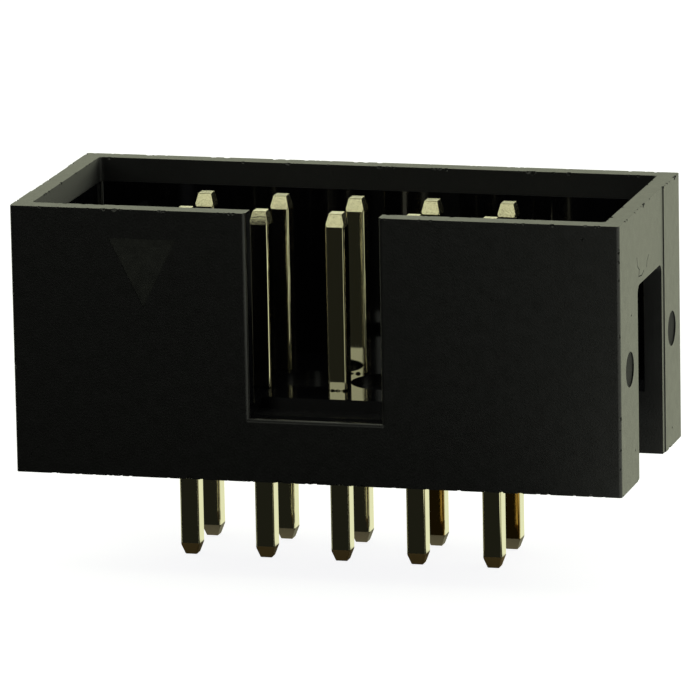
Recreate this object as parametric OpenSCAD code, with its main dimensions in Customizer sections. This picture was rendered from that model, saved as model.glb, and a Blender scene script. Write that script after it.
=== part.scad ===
// Vertical box header for insulation-displacement (IDC) cable sockets.
// A four-walled shroud stands on the board around two rows of square contacts.
// X runs along the rows, +Y points away from the key slot, +Z points up.
// Origin: centre of the contact field, in the plane that sits on the board.

/* [Contact field] */

// Distance between neighbouring contacts, along a row and across the two rows
pitch = 2.54; // [2:0.01:3]
// Contacts in each of the two rows
columns = 5; // [3:1:32]

/* [Contacts] */

// Width across the flats of the square wire
pin_w = 0.64; // [0.5:0.01:0.8]
// Radius of the wire's four long edges
pin_r = 0.08; // [0.02:0.01:0.15]
// How far the mating tip stays below the rim
tip_sink = 0.52; // [0.2:0.02:2]
// Flat left on the mating tip
tip_flat = 0.42; // [0.2:0.01:0.48]
// Height of the bevel on the mating tip
tip_h = 0.43; // [0.2:0.01:0.8]
// Length of the solder tail below the board plane
tail_l = 3.25; // [2:0.05:4.5]
// Flat left on the end of the solder tail
tail_flat = 0.38; // [0.2:0.01:0.48]
// Height of the bevel on the solder tail
tail_tip_h = 0.38; // [0.2:0.01:0.8]

/* [Housing] */

// From the last contact's centre to the outside of the end wall
end_margin = 4.97; // [4.5:0.01:6]
// From a row's centre to the outside of the long wall
side_margin = 3.13; // [2.8:0.01:4]
// Height from the board plane to the rim
body_h = 8.8; // [7.5:0.05:11]
// Thickness of the two end walls
end_wall = 0.63; // [0.5:0.01:0.9]
// Thickness of the two long walls
side_wall = 0.65; // [0.5:0.01:0.9]
// Thickness of the floor that grips the contacts
floor_t = 2.45; // [1.8:0.05:3]
// Radius of the outer upright corners
outer_r = 0.1; // [0.05:0.01:0.4]
// Radius of the inner upright corners
inner_r = 0.15; // [0.05:0.01:0.4]
// Height of the band round the mouth that is moulded a little wider
mouth_h = 0.8; // [0.4:0.05:1.5]
// How much wider that band is on each side
mouth_step = 0.03; // [0.01:0.01:0.1]

/* [Key slot] */

// Width of the slot that takes the socket's key
slot_w = 4.4; // [3.5:0.05:5]
// How far the slot's sill lies below the floor of the cavity
sill_drop = 0.38; // [0.2:0.02:0.8]
// Depth of the sill, from the outside of the wall inwards
sill_d = 1.6; // [1:0.05:1.8]
// Radius worn over the slot's outer edge, down both sides and along the sill
slot_edge_r = 0.12; // [0.05:0.01:0.2]

/* [End windows] */

// Width of the window in each end wall, open at the board
window_w = 3.5; // [2.5:0.05:4.2]
// Height of the window
window_h = 6.33; // [4:0.01:7]
// Radius of the window's two upper corners
window_r = 0.3; // [0.1:0.05:0.6]
// How deep the window runs into the floor block under the cavity
window_d = 1.5; // [1:0.05:2.5]

/* [Mould marks] */

// Diameter of the ejector wells in the cavity floor, between four contacts each
ejector_d = 2.4; // [1:0.05:2.5]
// Depth of the ejector wells
ejector_step = 0.3; // [0.05:0.05:0.6]
// Margin of the shallow panel beyond the window, on each side
panel_margin = 0.3; // [0.2:0.05:0.6]
// Depth of that panel
panel_step = 0.03; // [0.01:0.01:0.06]
// Diameter of the round mark on each end leg
mark_d = 1.15; // [0.8:0.05:1.3]
// Height of the round mark's centre above the board
mark_z = 3.9; // [2:0.05:6]
// Depth of the round mark
mark_step = 0.05; // [0.02:0.01:0.1]
// Width of the first-contact triangle along its top edge
tri_w = 2.28; // [1:0.02:2.6]
// Height of the first-contact triangle
tri_h = 2.27; // [1:0.02:3]
// From the rim down to the triangle's top edge
tri_top = 0.95; // [0.5:0.05:2]
// Sideways shift of the triangle's point from the first contact
tri_shift = -0.56; // [-1:0.02:0]
// Depth of the triangle
tri_step = 0.05; // [0.02:0.01:0.15]

/* [Hidden] */

$fn = 48;
// over-travel of every cutter, so that no cut stops on a face
over = 1;

row_l = (columns - 1) * pitch;
body_l = row_l + 2 * end_margin;
body_w = pitch + 2 * side_margin;
cavity_l = body_l - 2 * end_wall;
cavity_w = body_w - 2 * side_wall;
sill_z = floor_t - sill_drop;
front_y = -body_w / 2;

pin_top = body_h - tip_sink;
panel_w = window_w + 2 * panel_margin;
// the round marks sit in the middle of the end legs
mark_y = (body_w + window_w) / 4;
// the ejector wells sit in the middle of the two gaps next to the centre column,
// or one gap out from the centre where the number of columns is even
ejector_x = columns % 2 == 0 ? pitch : pitch / 2;

// contact 1 is at the triangle; odd numbers run along the key-slot row
function pin_x(n) = (floor((n - 1) / 2) - (columns - 1) / 2) * pitch;
function pin_y(n) = (((n - 1) % 2) - 0.5) * pitch;

// a rectangle with true arcs at its corners, centred on the origin
module rounded_rect(l, w, r) {
    square([l, w - 2 * r], center = true);
    square([l - 2 * r, w], center = true);
    for (sx = [-1, 1], sy = [-1, 1])
        translate([sx * (l / 2 - r), sy * (w / 2 - r)]) circle(r = r);
}

// cross-section of the wire, shared by the contacts and the holes that grip them
module wire_section() {
    rounded_rect(pin_w, pin_w, pin_r);
}

// side view of a contact: straight shank with a bevel at each end
module contact_profile() {
    polygon([
        [-tail_flat / 2, -tail_l],
        [tail_flat / 2, -tail_l],
        [pin_w / 2, -tail_l + tail_tip_h],
        [pin_w / 2, pin_top - tip_h],
        [tip_flat / 2, pin_top],
        [-tip_flat / 2, pin_top],
        [-pin_w / 2, pin_top - tip_h],
        [-pin_w / 2, -tail_l + tail_tip_h]
    ]);
}

// one contact: the wire cut to the same bevelled profile from both sides
module pin(n) {
    color([0.85, 0.77, 0.52])
    translate([pin_x(n), pin_y(n), 0])
    intersection() {
        translate([0, 0, -tail_l - over])
            linear_extrude(tail_l + pin_top + 2 * over) wire_section();
        rotate([90, 0, 0])
            linear_extrude(pin_w + 2 * over, center = true) contact_profile();
        rotate([90, 0, 90])
            linear_extrude(pin_w + 2 * over, center = true) contact_profile();
    }
}

// what a round-over takes off an edge: x runs into the material, y runs in from the face
module round_over_section() {
    difference() {
        translate([0, -over]) square([slot_edge_r, slot_edge_r + over]);
        translate([slot_edge_r, slot_edge_r]) circle(r = slot_edge_r);
    }
}

// the polarising slot: open at the rim, its sill a step below the cavity floor,
// with one round-over running down, across and up its outer edge
module key_slot() {
    translate([-slot_w / 2, front_y - over, sill_z])
        cube([slot_w, sill_d + over, body_h]);
    translate([0, front_y, sill_z]) {
        for (side = [0, 1]) mirror([side, 0, 0]) {
            // upright edge
            translate([slot_w / 2, 0, 0])
                linear_extrude(body_h) round_over_section();
            // swept corner between the upright edge and the sill
            translate([slot_w / 2, 0, 0])
                rotate([-90, 0, 0]) rotate_extrude(angle = 90) round_over_section();
        }
        // sill edge
        rotate([0, 90, 0]) linear_extrude(slot_w, center = true) round_over_section();
    }
}

// the arched window at the +X end: through the wall above the floor, a recess below it
module end_window() {
    translate([body_l / 2 - window_d, 0, 0])
    rotate([90, 0, 90]) linear_extrude(window_d + over) {
        translate([-window_w / 2, -over]) square([window_w, window_h - window_r + over]);
        translate([-window_w / 2 + window_r, 0]) square([window_w - 2 * window_r, window_h]);
        for (side = [-1, 1])
            translate([side * (window_w / 2 - window_r), window_h - window_r])
                circle(r = window_r);
    }
}

// shallow traces of the mould on the +X end: the slide's panel and two round marks
module end_marks() {
    translate([body_l / 2 - panel_step, -panel_w / 2, -over])
        cube([panel_step + over, panel_w, body_h + 2 * over]);
    for (side = [-1, 1])
        translate([body_l / 2 - mark_step, side * mark_y, mark_z])
            rotate([0, 90, 0]) cylinder(d = mark_d, h = mark_step + over);
}

// the sunk triangle that points at contact 1
module first_contact_mark() {
    translate([pin_x(1) + tri_shift, front_y + tri_step, body_h - tri_top])
        rotate([90, 0, 0])
            linear_extrude(tri_step + over)
                polygon([[-tri_w / 2, 0], [0, -tri_h], [tri_w / 2, 0]]);
}

module housing() {
    color([0.08, 0.08, 0.085])
    difference() {
        linear_extrude(body_h) rounded_rect(body_l, body_w, outer_r);
        // cavity
        translate([0, 0, floor_t])
            linear_extrude(body_h) rounded_rect(cavity_l, cavity_w, inner_r);
        // wider band round the mouth
        translate([0, 0, body_h - mouth_h])
            linear_extrude(body_h)
                rounded_rect(cavity_l + 2 * mouth_step, cavity_w + 2 * mouth_step,
                             inner_r + mouth_step);
        key_slot();
        for (turn = [0, 180]) rotate([0, 0, turn]) {
            end_window();
            end_marks();
        }
        first_contact_mark();
        for (side = [-1, 1])
            translate([side * ejector_x, 0, floor_t - ejector_step])
                cylinder(d = ejector_d, h = ejector_step + over);
        for (n = [1 : 2 * columns])
            translate([pin_x(n), pin_y(n), -over])
                linear_extrude(floor_t + 2 * over) wire_section();
    }
}

housing();
for (n = [1 : 2 * columns])
    pin(n);
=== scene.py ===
import math
import random

import bpy
from mathutils import Matrix, Vector


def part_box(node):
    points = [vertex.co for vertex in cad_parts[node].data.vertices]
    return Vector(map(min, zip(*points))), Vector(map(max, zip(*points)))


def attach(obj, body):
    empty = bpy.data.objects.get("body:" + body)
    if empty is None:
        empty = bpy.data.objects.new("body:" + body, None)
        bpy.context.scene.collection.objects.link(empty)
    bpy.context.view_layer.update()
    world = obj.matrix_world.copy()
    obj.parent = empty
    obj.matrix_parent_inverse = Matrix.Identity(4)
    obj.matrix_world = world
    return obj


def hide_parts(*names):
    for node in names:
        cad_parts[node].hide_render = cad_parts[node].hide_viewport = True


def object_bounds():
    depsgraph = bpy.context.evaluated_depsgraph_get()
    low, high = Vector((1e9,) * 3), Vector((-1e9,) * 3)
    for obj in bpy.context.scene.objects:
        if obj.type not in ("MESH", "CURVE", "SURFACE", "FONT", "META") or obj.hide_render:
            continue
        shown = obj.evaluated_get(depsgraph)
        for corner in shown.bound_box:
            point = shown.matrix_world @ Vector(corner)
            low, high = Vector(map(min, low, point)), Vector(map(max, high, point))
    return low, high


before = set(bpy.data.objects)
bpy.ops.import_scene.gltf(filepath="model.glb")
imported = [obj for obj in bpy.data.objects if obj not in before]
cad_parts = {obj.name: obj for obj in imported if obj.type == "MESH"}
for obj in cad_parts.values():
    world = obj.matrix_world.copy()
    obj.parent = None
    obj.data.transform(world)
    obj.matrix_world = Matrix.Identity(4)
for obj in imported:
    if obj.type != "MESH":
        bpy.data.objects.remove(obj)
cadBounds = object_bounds()

housingNode = "housing"
contactNodes = sorted(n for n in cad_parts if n.startswith("pin_"))
mm = 0.001
over, under = "GREATER_THAN", "LESS_THAN"
print("frame loaded:", len(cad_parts), "nodes")


# small helpers

def hexToLinear(text):
    channels = []
    for i in (0, 2, 4):
        c = int(text.lstrip("#")[i:i + 2], 16) / 255
        channels.append(c / 12.92 if c <= 0.04045 else ((c + 0.055) / 1.055) ** 2.4)
    return (*channels, 1.0)


def addNode(tree, kind, links=None, **settings):
    # links: socket name or number -> value, a node's output, or a node for its first output
    node = tree.nodes.new(kind)
    for name, value in settings.items():
        setattr(node, name, value)
    for socket, source in (links or {}).items():
        if isinstance(source, bpy.types.Node):
            source = source.outputs[0]
        if isinstance(source, bpy.types.NodeSocket):
            tree.links.new(source, node.inputs[socket])
        else:
            node.inputs[socket].default_value = source
    return node


def whereAll(tree, *tests):
    # 1 where all hold, else 0; a test is a mask, or a value with a comparison and a limit
    mask = 1.0
    for test in tests:
        if isinstance(test, tuple):
            value, comparison, limit = test
            test = addNode(tree, "ShaderNodeMath", {0: value, 1: limit}, operation=comparison)
        mask = addNode(tree, "ShaderNodeMath", {0: mask, 1: test}, operation="MULTIPLY")
    return mask


def newMaterial(name):
    material = bpy.data.materials.new(name)
    material.use_nodes = True
    material.node_tree.nodes.clear()
    return material, material.node_tree


def millimetres(tree):
    # Object coordinates in millimetres, and their three parts
    coords = addNode(tree, "ShaderNodeTexCoord")
    scaled = addNode(tree, "ShaderNodeMapping", {"Vector": coords.outputs["Object"],
                                                 "Scale": (1 / mm, 1 / mm, 1 / mm)})
    parts = addNode(tree, "ShaderNodeSeparateXYZ", {0: scaled})
    return (scaled, *parts.outputs)


def direction(azimuth, elevation):
    # towards a place seen from the origin, 0 is the front and right is positive
    az, el = math.radians(azimuth), math.radians(elevation)
    return Vector((math.sin(az) * math.cos(el), -math.cos(az) * math.cos(el), math.sin(el)))


def selectOnly(item):
    bpy.ops.object.select_all(action="DESELECT")
    item.select_set(True)
    bpy.context.view_layer.objects.active = item


# camera

view = {
    "azimuth": 15.055, "elevation": 12.584, "roll": -1.076,  # degrees
    "aim": (-0.108, -0.127, 3.68), "distance": 253.6,  # mm
    "lens": 407.3, "sensor": 36.0, "clip": 0.01,  # mm, mm, m
}


def addCamera():
    back = direction(view["azimuth"], view["elevation"])
    roll = math.radians(view["roll"])
    right = (-back).cross(Vector((0, 0, 1))).normalized()
    up = right.cross(-back)
    right, up = (math.cos(roll) * right + math.sin(roll) * up,
                 math.cos(roll) * up - math.sin(roll) * right)
    place = (Vector(view["aim"]) + back * view["distance"]) * mm
    data = bpy.data.cameras.new("camera")
    data.sensor_fit = "HORIZONTAL"
    data.sensor_width = view["sensor"]
    data.lens = view["lens"]
    data.clip_start = view["clip"]
    camera = bpy.data.objects.new("camera", data)
    bpy.context.scene.collection.objects.link(camera)
    turn = Matrix((right, up, back)).transposed().to_4x4()
    camera.matrix_world = Matrix.Translation(place) @ turn
    bpy.context.scene.camera = camera


addCamera()
print("camera placed")


# housing

housing = {
    "cavityHalf": (9.42, 3.75),  # mm, inside of the end and long walls
    "wellFloor": 2.05, "floorTop": 2.45,  # mm, heights in the cavity
    "mouthLine": 8.0, "mouthStep": 0.03, "leanFrom": 9.37,  # mm, z, depth, x of the end bands
    "slotHalf": 2.2, "sill": 2.07, "sillDepth": 1.2, "riser": -2.86,  # mm, the riser's y
    "patchDepth": (-4.37, -4.33), "patchHeight": (5.4, 8.0),  # mm, y and z
    "dimpleCentre": (3.075, 3.9), "dimpleRadius": 0.575, "dimpleRim": 0.08,  # mm, y and z
    "endFrom": 9.9,  # mm, x past which the end walls' outside begins
    "slack": 0.01, "fineSlack": 0.005,  # mm, takes a face in or keeps it out of a mask
    "colour": "#0b0b10", "patchColour": "#232425", "ior": 1.58,
    "sheenTint": (0.85, 0.84, 1.0, 1.0),  # the black reads slightly blue face on
    "spark": 0.4, "polish": 0.06, "wellRough": 0.22, "mouthRough": 0.6, "dimpleRough": 0.6,
    "mottle": 0.4, "mottleTone": (0.72, 1.3), "mottleRough": 0.02,  # mm, tone, roughness
    "grain": 0.07, "polishedGrain": 0.03,  # mm, share left on the polished faces
    "bump": 0.5, "bumpDepth": 0.012,  # strength, mm
    "mouthLean": 175.0, "riserLean": 20.0,  # grain heights per mm, about 32 and 7 degrees
    "seed": 7, "chipsPerMillimetre": 2.2, "chip": (0.02, 0.062), "stretch": 2.5,  # mm
    "jitter": 0.4, "runEnds": (0.01, 0.99),  # of a chip's size, of a run's length
    "edgeBreak": 0.028, "shortest": 0.1,  # mm, no break on a shorter edge
    "sharp": 60.0, "flat": 0.3,  # degrees
    "near": 0.001, "join": 0.0001,  # mm, corners this close are one: before and after the cut
    "scratchWidth": 0.024, "scratchStep": 0.03, "speck": 0.045,  # mm
    "panelHalf": 2.05, "panelStep": 0.03,  # mm, the shallow panel round the window
    "endScratches": [((-1.8, 7.25), (-1.7, 6.95), (-1.45, 6.8), (-1.55, 6.6), (-1.1, 6.55),
                      (-0.8, 6.65)),
                     ((-0.1, 7.0), (-0.35, 6.85), (-0.4, 6.65))],  # mm, y and z
    "frontScratches": [((-9.3, 0.85), (-9.5, 0.7), (-9.57, 0.5), (-9.5, 0.28))],  # mm, x and z
    "endSpecks": [(-2.4, 1.1), (3.0, 0.6), (-2.8, 5.6)],  # mm, y and z
    "frontSpecks": [(5.9, 6.3), (8.85, 8.35)],  # mm, x and z
}


def polyesterMaterial():
    # glass-filled PBT, moulded: a spark-eroded mould leaves the outside dull and finely
    # grained, a polished core leaves the inside smooth enough to mirror
    material, tree = newMaterial("glassFilledPolyesterMoulded")
    place, x, y, z = millimetres(tree)
    h = housing
    inX, inY = h["cavityHalf"]
    ax = addNode(tree, "ShaderNodeMath", {0: x}, operation="ABSOLUTE")
    ay = addNode(tree, "ShaderNodeMath", {0: y}, operation="ABSOLUTE")
    core = whereAll(tree, (ax, under, inX + h["slack"]), (ay, under, inY + h["slack"]),
                    (z, under, h["mouthLine"] - h["fineSlack"]), (z, over, h["wellFloor"]))
    inSlot = whereAll(tree, (ax, under, h["slotHalf"] + h["slack"]),
                      (y, under, h["sillDepth"] - inY), (z, over, h["sill"] - h["slack"]))
    polished = addNode(tree, "ShaderNodeMath", {0: core, 1: inSlot}, operation="MAXIMUM")
    well = whereAll(tree, core, (z, under, h["floorTop"] - 2 * h["slack"]))
    riser = whereAll(tree, inSlot, (y, over, h["riser"]),
                     (z, under, h["floorTop"] - h["fineSlack"]))
    mouth = whereAll(tree, (ax, under, inX + h["mouthStep"] + h["slack"]),
                     (ay, under, inY + h["mouthStep"] + h["slack"]),
                     (z, over, h["mouthLine"] + h["fineSlack"]))
    mouthEnds = whereAll(tree, mouth, (ax, over, h["leanFrom"]))
    patch = whereAll(tree, (y, over, h["patchDepth"][0]), (y, under, h["patchDepth"][1]),
                     (z, over, h["patchHeight"][0]), (z, under, h["patchHeight"][1]),
                     (ax, under, inX))
    across = addNode(tree, "ShaderNodeCombineXYZ", {"Y": ay, "Z": z})
    fromDimple = addNode(tree, "ShaderNodeVectorMath",
                         {0: across, 1: (0.0, *h["dimpleCentre"])}, operation="DISTANCE")
    dimple = addNode(tree, "ShaderNodeMapRange",
                     {"Value": fromDimple.outputs["Value"], "From Min": h["dimpleRadius"],
                      "From Max": h["dimpleRadius"] - h["dimpleRim"]},
                     interpolation_type="SMOOTHSTEP")
    dimple = whereAll(tree, dimple, (ax, over, h["endFrom"]))
    colour = addNode(tree, "ShaderNodeMix", {0: patch, 6: hexToLinear(h["colour"]),
                                             7: hexToLinear(h["patchColour"])}, data_type="RGBA")
    cloud = addNode(tree, "ShaderNodeTexNoise", {"Vector": place, "Scale": 1 / h["mottle"],
                                                 "Detail": 4.0, "Roughness": 0.7})
    tone, uneven = (addNode(tree, "ShaderNodeMapRange",
                            {"Value": cloud.outputs["Fac"], "From Min": 0.3, "From Max": 0.7,
                             "To Min": low, "To Max": high}, interpolation_type="SMOOTHSTEP")
                    for low, high in (h["mottleTone"], (-h["mottleRough"], h["mottleRough"])))
    colour = addNode(tree, "ShaderNodeVectorMath", {0: colour.outputs[2], 1: tone},
                     operation="MULTIPLY")
    rough = addNode(tree, "ShaderNodeMix", {0: polished, 2: h["spark"], 3: h["polish"]})
    wellRough = addNode(tree, "ShaderNodeMath", {0: well, 1: h["wellRough"]}, operation="MULTIPLY")
    mouthRough = addNode(tree, "ShaderNodeMath", {0: mouth, 1: h["mouthRough"]},
                         operation="MULTIPLY")
    for operation, other in (("MAXIMUM", wellRough), ("ADD", uneven), ("MAXIMUM", mouthRough)):
        rough = addNode(tree, "ShaderNodeMath", {0: rough, 1: other}, operation=operation)
    rough = addNode(tree, "ShaderNodeMath", {0: dimple, 1: h["dimpleRough"], 2: rough},
                    operation="MULTIPLY_ADD", use_clamp=True)
    # the texture is finer than this: drawn as coarse as it needs to show
    grain = addNode(tree, "ShaderNodeTexNoise", {"Vector": place, "Scale": 1 / h["grain"],
                                                 "Detail": 3.0, "Roughness": 0.6})
    share = addNode(tree, "ShaderNodeMix", {0: polished, 2: 1.0, 3: h["polishedGrain"]})
    height = addNode(tree, "ShaderNodeMath", {0: grain.outputs["Fac"], 1: share},
                     operation="MULTIPLY")
    # the bands at the mouth's ends and the slot's riser lean in the shading, not in the mesh
    for mask, lean in ((mouthEnds, -h["mouthLean"]), (riser, h["riserLean"])):
        slope = addNode(tree, "ShaderNodeMath", {0: z, 1: lean}, operation="MULTIPLY")
        height = addNode(tree, "ShaderNodeMath", {0: slope, 1: mask, 2: height},
                         operation="MULTIPLY_ADD")
    bump = addNode(tree, "ShaderNodeBump", {"Strength": h["bump"], "Distance": h["bumpDepth"] * mm,
                                            "Height": height})
    shader = addNode(tree, "ShaderNodeBsdfPrincipled",
                     {"Base Color": colour, "Roughness": rough, "IOR": h["ior"],
                      "Specular Tint": h["sheenTint"], "Normal": bump})
    addNode(tree, "ShaderNodeOutputMaterial", {"Surface": shader})
    return material


def onOutline(p, high):
    atRim = abs(p.z - high.z) < housing["near"]
    atBoard = abs(p.z) < housing["near"]
    atEnd = abs(abs(p.x) - high.x) < housing["near"]
    return atRim, atBoard, atEnd


def breakEdges(shell, high):
    # the outline's sharp edges get a small two-step break
    bpy.ops.object.mode_set(mode="EDIT")
    bpy.context.tool_settings.mesh_select_mode = (False, True, False)
    bpy.ops.mesh.select_all(action="SELECT")
    bpy.ops.mesh.remove_doubles(threshold=housing["near"] * mm)
    bpy.ops.mesh.dissolve_limited(angle_limit=math.radians(housing["flat"]))
    bpy.ops.mesh.select_all(action="DESELECT")
    bpy.ops.mesh.edges_select_sharp(sharpness=math.radians(housing["sharp"]))
    bpy.ops.object.mode_set(mode="OBJECT")
    mesh = shell.data
    chosen, corners = [], set()
    for edge in mesh.edges:
        a, b = (mesh.vertices[i].co / mm for i in edge.vertices)
        same = [u and v for u, v in zip(onOutline(a, high), onOutline(b, high))]
        keep = edge.select and any(same) and (a - b).length > housing["shortest"]
        chosen.append(keep)
        if keep:
            corners.update(edge.vertices)
    mesh.polygons.foreach_set("select", [False] * len(mesh.polygons))
    mesh.edges.foreach_set("select", chosen)
    mesh.vertices.foreach_set("select", [v.index in corners for v in mesh.vertices])
    bpy.ops.object.mode_set(mode="EDIT")
    bpy.ops.mesh.bevel(offset=housing["edgeBreak"] * mm, segments=2, clamp_overlap=True)
    bpy.ops.object.mode_set(mode="OBJECT")
    print("edges broken:", sum(chosen))


def outlineRuns(high):
    # the rim outside and inside, the board edge and the upright corners
    inX, inY = housing["cavityHalf"]
    runs = []
    for x, y, z in ((high.x, high.y, high.z), (inX, inY, high.z), (high.x, high.y, 0)):
        for side in (-1, 1):
            runs.append((Vector((-x, side * y, z)), Vector((x, side * y, z))))
            runs.append((Vector((side * x, -y, z)), Vector((side * x, y, z))))
    for x in (-high.x, high.x):
        for y in (-high.y, high.y):
            runs.append((Vector((x, y, 0)), Vector((x, y, high.z))))
    return runs


def edgeSpots(draw, high):
    # places and half sizes of the chips along the outline
    spots = []
    for start, end in outlineRuns(high):
        along = end - start
        for _ in range(round(along.length * housing["chipsPerMillimetre"])):
            size = draw.uniform(*housing["chip"])
            reach = housing["jitter"] * size
            jitter = Vector([draw.uniform(-reach, reach) for _ in range(3)])
            place = start + along * draw.uniform(*housing["runEnds"]) + jitter
            spots.append((place, [size * draw.uniform(1, housing["stretch"]) for _ in range(3)]))
    return spots


def faceSpots(low, high):
    # scratches, as rows of small cuts, and specks on the end face and the front
    def onEnd(p):
        inPanel = abs(p[0]) < housing["panelHalf"]
        return Vector((high.x - housing["panelStep"] * inPanel, p[0], p[1]))

    def onFront(p):
        return Vector((p[0], low.y, p[1]))

    spots = []
    for toFace, face in ((onEnd, "end"), (onFront, "front")):
        spots += [(toFace(p), [housing["speck"]] * 3) for p in housing[face + "Specks"]]
        for line in housing[face + "Scratches"]:
            for a, b in zip(line, line[1:]):
                a, b = toFace(a), toFace(b)
                count = round((b - a).length / housing["scratchStep"])
                spots += [(a.lerp(b, i / count), [housing["scratchWidth"]] * 3)
                          for i in range(count)]
    return spots


def chipEdges(shell, low, high):
    # small chips struck out of the outline, as on parts shaken together in a bag
    draw = random.Random(housing["seed"])
    bpy.ops.object.select_all(action="DESELECT")
    bpy.ops.mesh.primitive_ico_sphere_add(subdivisions=1, radius=mm)
    cutter = bpy.context.active_object
    chips = []
    for place, scale in edgeSpots(draw, high) + faceSpots(low, high):
        chip = cutter.copy()
        chip.data = cutter.data.copy()
        bpy.context.scene.collection.objects.link(chip)
        chip.location = place * mm
        chip.rotation_euler = [draw.uniform(0, math.pi) for _ in range(3)]
        chip.scale = scale
        chips.append(chip)
    for chip in chips:
        chip.select_set(True)
    bpy.ops.object.join()
    cut = shell.modifiers.new("chips", "BOOLEAN")
    cut.operation = "DIFFERENCE"
    cut.solver = "EXACT"
    cut.use_self = True
    cut.object = cutter
    selectOnly(shell)
    bpy.ops.object.modifier_apply(modifier="chips")
    bpy.data.objects.remove(cutter)
    print("chips, scratch cuts and specks:", len(chips))


def finishShell(shell):
    # one surface of triangles, its nearly touching corners joined, any crumb cut free dropped
    bpy.ops.object.mode_set(mode="EDIT")
    bpy.ops.mesh.select_all(action="SELECT")
    bpy.ops.mesh.quads_convert_to_tris(quad_method="BEAUTY", ngon_method="BEAUTY")
    bpy.ops.object.mode_set(mode="OBJECT")
    shell.modifiers.new("join", "WELD").merge_threshold = housing["join"] * mm
    bpy.ops.object.modifier_apply(modifier="join")
    bpy.ops.object.mode_set(mode="EDIT")
    bpy.ops.mesh.select_all(action="SELECT")
    bpy.ops.mesh.separate(type="LOOSE")
    bpy.ops.object.mode_set(mode="OBJECT")
    parts = sorted(bpy.context.selected_objects, key=lambda part: len(part.data.polygons))
    for crumb in parts[:-1]:
        bpy.data.objects.remove(crumb)
    parts[-1].name = "housing_shell"
    print("crumbs dropped:", len(parts) - 1)
    return parts[-1]


def wornHousing():
    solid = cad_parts[housingNode]
    low, high = (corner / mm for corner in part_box(housingNode))
    shell = bpy.data.objects.new("housing_shell", solid.data.copy())
    bpy.context.scene.collection.objects.link(shell)
    selectOnly(shell)
    breakEdges(shell, high)
    chipEdges(shell, low, high)
    shell = finishShell(shell)
    shell.data.materials.clear()
    shell.data.materials.append(polyesterMaterial())
    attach(shell, "root")
    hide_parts(housingNode)
    print("shell faces:", len(shell.data.polygons))


wornHousing()
print("housing finished")


# contacts

contacts = {
    # the rear tails' tips take a darker copy of the bare colour: painted shade
    "colour": "#dad3bd", "orangeGold": "#b08a48", "bare": "#9c7f56", "tipShade": "#4e4130",
    # painted shadow: a dark ring round each contact where it enters the housing floor
    "seatShadow": "#15130d",
    "shank": 0.05, "tip": 0.2, "tailRough": 0.4,  # roughness, the last added on the tail's tip
    "seat": 2.45, "seatShadowRise": 0.02, "seatShadowReach": 0.05,  # mm, where the housing grips it
    "rearFront": (0.9, 0.985), "orangeFaceFrom": 1.5,  # mm, y and x of the rear tails' front faces tinted orange-gold
    "tipHeight": 0.43, "tailTipHeight": 0.38, "slack": 0.01,  # mm
    "seatShadowScale": 11.0, "dentScale": 9.0, "drawnScale": (9.0, 9.0, 0.5),  # per mm
    "shankBump": 0.03, "tipBump": 0.45, "bumpDepth": 0.03,  # strengths, mm
    "edge": 0.02, "edgeAngle": 35.0, "weld": 0.0005,  # mm, degrees, mm
}


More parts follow.
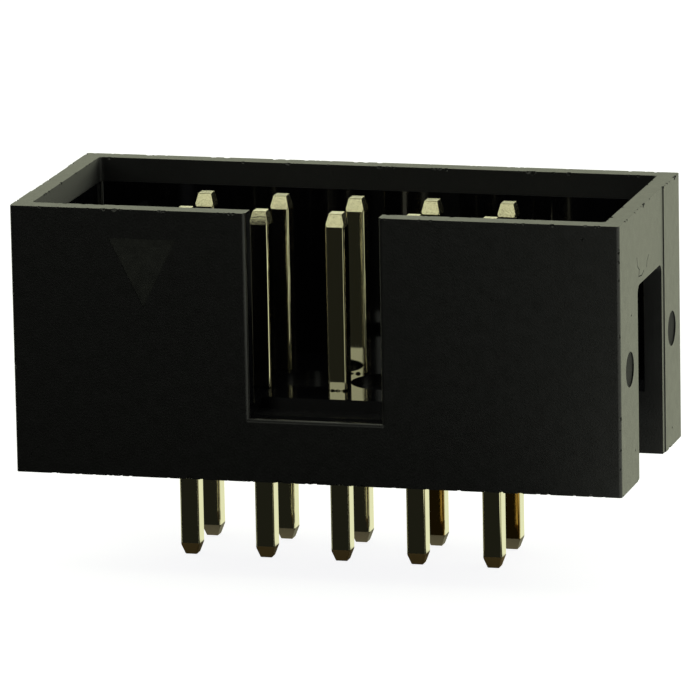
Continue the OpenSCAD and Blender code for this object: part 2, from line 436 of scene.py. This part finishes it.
def wireMaterial():
    # brass wire drawn square and flashed with pale gold: it mirrors, with faint lines along
    # it; the tips are stamped rough, and the tail's is bare of gold and dull
    material, tree = newMaterial("goldFlashedBrassDrawn")
    place, x, y, z = millimetres(tree)
    low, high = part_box(contactNodes[0])
    c = contacts
    tip = whereAll(tree, (z, over, high.z / mm - c["tipHeight"] - c["slack"]))
    tailTip = whereAll(tree, (z, under, low.z / mm + c["tailTipHeight"] + c["slack"]))
    # painted shade: the rear tails' tips are coloured darker than the front ones
    backTipShade = whereAll(tree, tailTip, (y, over, 0.0))
    stamped = addNode(tree, "ShaderNodeMath", {0: tip, 1: tailTip}, operation="MAXIMUM")
    # an orange-gold tint on the rear tails' front faces below the housing, right of x 1.5
    orangeFace = whereAll(tree, (y, over, c["rearFront"][0]), (y, under, c["rearFront"][1]),
                    (z, under, 0.0), (x, over, c["orangeFaceFrom"]))
    # painted contact shadow: a dark ring of uneven reach just above the seat
    patches = addNode(tree, "ShaderNodeTexNoise", {"Vector": place, "Scale": c["seatShadowScale"],
                                                   "Detail": 2.0})
    reach = addNode(tree, "ShaderNodeMapRange",
                    {"Value": patches.outputs["Fac"], "From Min": 0.3, "From Max": 0.7,
                     "To Min": 0.0, "To Max": c["seatShadowReach"]}, interpolation_type="SMOOTHSTEP")
    fromSeat = addNode(tree, "ShaderNodeMath", {0: z, 1: c["seat"] + c["seatShadowRise"]},
                       operation="SUBTRACT")
    fromSeat = addNode(tree, "ShaderNodeMath", {0: fromSeat}, operation="ABSOLUTE")
    shadedSeat = whereAll(tree, (fromSeat, under, reach))
    colour = hexToLinear(c["colour"])
    # the last two colours are painted shade: the rear tips' darker copy and the ring at the seat
    for mask, shade in ((orangeFace, "orangeGold"), (tailTip, "bare"), (backTipShade, "tipShade"),
                        (shadedSeat, "seatShadow")):
        colour = addNode(tree, "ShaderNodeMix", {0: mask, 6: colour, 7: hexToLinear(c[shade])},
                         data_type="RGBA").outputs[2]
    streak = addNode(tree, "ShaderNodeMapping", {"Vector": place, "Scale": c["drawnScale"]})
    drawn = addNode(tree, "ShaderNodeTexNoise", {"Vector": streak, "Scale": 1.0,
                                                 "Detail": 4.0, "Roughness": 0.6})
    dents = addNode(tree, "ShaderNodeTexNoise", {"Vector": place, "Scale": c["dentScale"],
                                                 "Detail": 3.0, "Roughness": 0.65})
    height = addNode(tree, "ShaderNodeMix", {0: stamped, 2: drawn.outputs["Fac"],
                                             3: dents.outputs["Fac"]})
    depth = addNode(tree, "ShaderNodeMix", {0: stamped, 2: c["shankBump"], 3: c["tipBump"]})
    bump = addNode(tree, "ShaderNodeBump", {"Strength": depth, "Distance": c["bumpDepth"] * mm,
                                            "Height": height})
    rough = addNode(tree, "ShaderNodeMix", {0: stamped, 2: c["shank"], 3: c["tip"]})
    rough = addNode(tree, "ShaderNodeMath", {0: tailTip, 1: c["tailRough"], 2: rough},
                    operation="MULTIPLY_ADD")
    metallic = addNode(tree, "ShaderNodeMath", {0: 1.0, 1: tailTip}, operation="SUBTRACT")
    shader = addNode(tree, "ShaderNodeBsdfPrincipled",
                     {"Base Color": colour, "Metallic": metallic, "Roughness": rough,
                      "Normal": bump})
    addNode(tree, "ShaderNodeOutputMaterial", {"Surface": shader})
    return material


def softenEdges(node):
    node.modifiers.new("weld", "WELD").merge_threshold = contacts["weld"] * mm
    bevel = node.modifiers.new("edges", "BEVEL")
    bevel.width = contacts["edge"] * mm
    bevel.segments = 2
    bevel.limit_method = "ANGLE"
    bevel.angle_limit = math.radians(contacts["edgeAngle"])


wire = wireMaterial()
for name in contactNodes:
    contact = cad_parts[name]
    softenEdges(contact)
    contact.data.materials.clear()
    contact.data.materials.append(wire)
print("contacts finished")


# floor, world and lamps

studio = {
    "floorColour": "#a9aaae", "floorSize": 6.0,  # m
    "glowColour": (0.98, 0.98, 1.0, 1.0), "glow": 0.9,  # lifts the floor to white, camera only
    "tint": (0.95, 1.0, 0.71),  # what is mirrored is yellower than the ground
    "world": 1.03, "frontWorld": 0.06, "worldTurn": (-0.35, 0.0),  # y of the direction
    "frontFloor": 0.016, "rightFloor": 1.15,  # strength of the mirrored floor
    "floorTurn": (-0.5, 0.6), "rightFrom": 9.0, "rightSlope": 0.27, "rightSoft": 1.5,  # mm
    "keySize": (0.25, 0.085), "keyDistance": 0.3,  # m
    "keyAzimuth": -18.0, "keyElevation": 17.0, "keyRadiance": 1.0,  # degrees, degrees
}


def floorMaterial():
    # matt white paper for the camera; reflections see it dark in front of the part and pale
    # behind and to the right
    material, tree = newMaterial("mattWhitePaper")
    place, x, y, z = millimetres(tree)
    s = studio
    rays = addNode(tree, "ShaderNodeLightPath")
    paper = addNode(tree, "ShaderNodeBsdfDiffuse", {"Color": hexToLinear(s["floorColour"])})
    glow = addNode(tree, "ShaderNodeEmission", {"Color": s["glowColour"], "Strength": s["glow"]})
    seen = addNode(tree, "ShaderNodeAddShader", {0: paper, 1: glow})
    back = addNode(tree, "ShaderNodeMapRange",
                   {"Value": y, "From Min": s["floorTurn"][0], "From Max": s["floorTurn"][1],
                    "To Min": s["frontFloor"], "To Max": s["world"]},
                   interpolation_type="SMOOTHSTEP")
    pastEnd = addNode(tree, "ShaderNodeMath", {0: x, 1: s["rightFrom"]}, operation="SUBTRACT")
    slanted = addNode(tree, "ShaderNodeMath", {0: y, 1: s["rightSlope"], 2: x},
                      operation="MULTIPLY_ADD")
    beside = addNode(tree, "ShaderNodeMath", {0: pastEnd, 1: slanted}, operation="MINIMUM")
    right = addNode(tree, "ShaderNodeMapRange",
                    {"Value": beside, "From Min": -s["rightSoft"], "From Max": s["rightSoft"],
                     "To Min": s["frontFloor"], "To Max": s["rightFloor"]},
                    interpolation_type="SMOOTHSTEP")
    shade = addNode(tree, "ShaderNodeMath", {0: back, 1: right}, operation="MAXIMUM")
    mirrored = addNode(tree, "ShaderNodeEmission", {"Color": (*s["tint"], 1), "Strength": shade})
    mix = addNode(tree, "ShaderNodeMixShader", {0: rays.outputs["Is Camera Ray"],
                                                1: mirrored, 2: seen})
    addNode(tree, "ShaderNodeOutputMaterial", {"Surface": mix})
    return material


def addFloor():
    bpy.ops.object.select_all(action="DESELECT")
    low = cadBounds[0][2]
    bpy.ops.mesh.primitive_plane_add(size=studio["floorSize"], location=(0, 0, low))
    floor = bpy.context.active_object
    floor.name = "floor"
    floor.data.materials.append(floorMaterial())


def addWorld():
    # white for the camera; tinted and dark towards the front for everything else
    world = bpy.data.worlds.new("studio")
    bpy.context.scene.world = world
    world.use_nodes = True
    tree = world.node_tree
    tree.nodes.clear()
    way = addNode(tree, "ShaderNodeTexCoord")
    parts = addNode(tree, "ShaderNodeSeparateXYZ", {0: way.outputs["Generated"]})
    rays = addNode(tree, "ShaderNodeLightPath")
    level = addNode(tree, "ShaderNodeMapRange",
                    {"Value": parts.outputs["Y"], "From Min": studio["worldTurn"][0],
                     "From Max": studio["worldTurn"][1], "To Min": studio["frontWorld"],
                     "To Max": studio["world"]}, interpolation_type="SMOOTHSTEP")
    sky = addNode(tree, "ShaderNodeBackground", {"Color": (*studio["tint"], 1),
                                                 "Strength": level})
    white = addNode(tree, "ShaderNodeBackground", {"Color": (1, 1, 1, 1), "Strength": 1.0})
    mix = addNode(tree, "ShaderNodeMixShader", {0: rays.outputs["Is Camera Ray"],
                                                1: sky, 2: white})
    addNode(tree, "ShaderNodeOutputWorld", {"Surface": mix})


def addKey():
    way = direction(studio["keyAzimuth"], studio["keyElevation"])
    data = bpy.data.lights.new("key", "AREA")
    data.shape = "RECTANGLE"
    data.size, data.size_y = studio["keySize"]
    data.energy = studio["keyRadiance"] * math.pi * data.size * data.size_y
    data.color = studio["tint"]
    key = bpy.data.objects.new("key", data)
    bpy.context.scene.collection.objects.link(key)
    key.location = way * studio["keyDistance"]
    key.rotation_euler = way.to_track_quat("Z", "Y").to_euler()


addFloor()
addWorld()
addKey()
bpy.context.scene.view_settings.view_transform = "Standard"
print("studio lit")
